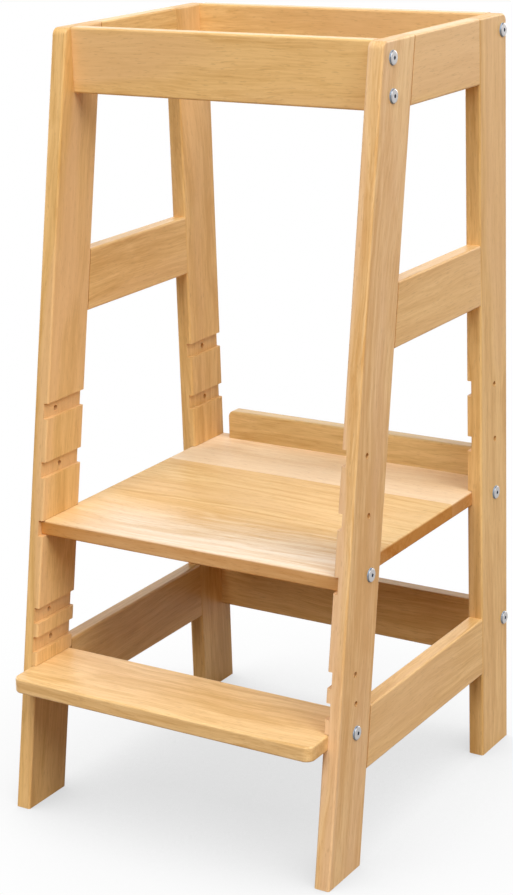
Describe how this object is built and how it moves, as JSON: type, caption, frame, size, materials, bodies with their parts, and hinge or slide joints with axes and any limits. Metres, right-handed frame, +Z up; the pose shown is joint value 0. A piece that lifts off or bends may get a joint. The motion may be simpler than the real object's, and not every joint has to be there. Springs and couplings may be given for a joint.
{
  "type": "toddler kitchen helper stool",
  "caption": "Standing tower of light beech boards for a small child at a worktop, with a platform and a step that hang in height-setting grooves of the side frames.",
  "frame": {"origin": "on the floor, under the middle of the whole stool's box", "axes": "+Z up, the step and the climb-in side face -Y, +X to the right of a person who stands in front"},
  "size_m": [0.43, 0.463, 0.9],
  "materials": {
    "leg_wood": "satin clear lacquer on light beech, grain along the leg",
    "rail_wood": "satin clear lacquer on light beech, grain along the rail",
    "panel_wood": "satin clear lacquer on light beech, wavy grain across the stool",
    "pale_panel_wood": "satin clear lacquer on a paler beech stave",
    "dowel_wood": "plain",
    "bolt_zinc": "bright zinc plated",
    "nut_steel": "zinc plated"
  },
  "bodies": {
    "root": {"bottom_side_rail_left": "rail_wood", "bottom_side_rail_right": "rail_wood", "frame_barrel_nuts_left": "nut_steel", "frame_barrel_nuts_right": "nut_steel", "frame_bolts_left": "bolt_zinc", "frame_bolts_right": "bolt_zinc", "front_leg_left": "leg_wood", "front_leg_right": "leg_wood", "front_top_rail": "rail_wood", "middle_side_rail_left": "rail_wood", "middle_side_rail_right": "rail_wood", "platform_barrel_nuts": "nut_steel", "platform_front_stave": "panel_wood", "platform_middle_stave": "panel_wood", "platform_rear_stave": "pale_panel_wood", "rear_bottom_rail": "rail_wood", "rear_leg_left": "leg_wood", "rear_leg_right": "leg_wood", "rear_rail_dowels": "dowel_wood", "rear_top_rail": "rail_wood", "side_frame_dowels_left": "dowel_wood", "side_frame_dowels_right": "dowel_wood", "step": "panel_wood", "step_barrel_nuts": "nut_steel", "top_side_rail_left": "rail_wood", "top_side_rail_right": "rail_wood", "upstand": "rail_wood", "upstand_dowels": "dowel_wood"},
    "platform_bolt_front_left": {"platform_bolt_front_left": "bolt_zinc"},
    "platform_bolt_front_right": {"platform_bolt_front_right": "bolt_zinc"},
    "platform_bolt_rear_left": {"platform_bolt_rear_left": "bolt_zinc"},
    "platform_bolt_rear_right": {"platform_bolt_rear_right": "bolt_zinc"},
    "step_bolt_left": {"step_bolt_left": "bolt_zinc"},
    "step_bolt_right": {"step_bolt_right": "bolt_zinc"}
  },
  "joints": [
    {"name": "platform_bolt_front_left_backs_out", "type": "slide", "parent": "root", "child": "platform_bolt_front_left", "axis": [-1, 0, 0], "range_m": [0, 0.055]},
    {"name": "platform_bolt_front_right_backs_out", "type": "slide", "parent": "root", "child": "platform_bolt_front_right", "axis": [1, 0, 0], "range_m": [0, 0.055]},
    {"name": "platform_bolt_rear_left_backs_out", "type": "slide", "parent": "root", "child": "platform_bolt_rear_left", "axis": [-1, 0, 0], "range_m": [0, 0.055]},
    {"name": "platform_bolt_rear_right_backs_out", "type": "slide", "parent": "root", "child": "platform_bolt_rear_right", "axis": [1, 0, 0], "range_m": [0, 0.055]},
    {"name": "step_bolt_left_backs_out", "type": "slide", "parent": "root", "child": "step_bolt_left", "axis": [-1, 0, 0], "range_m": [0, 0.055]},
    {"name": "step_bolt_right_backs_out", "type": "slide", "parent": "root", "child": "step_bolt_right", "axis": [1, 0, 0], "range_m": [0, 0.055]}
  ]
}
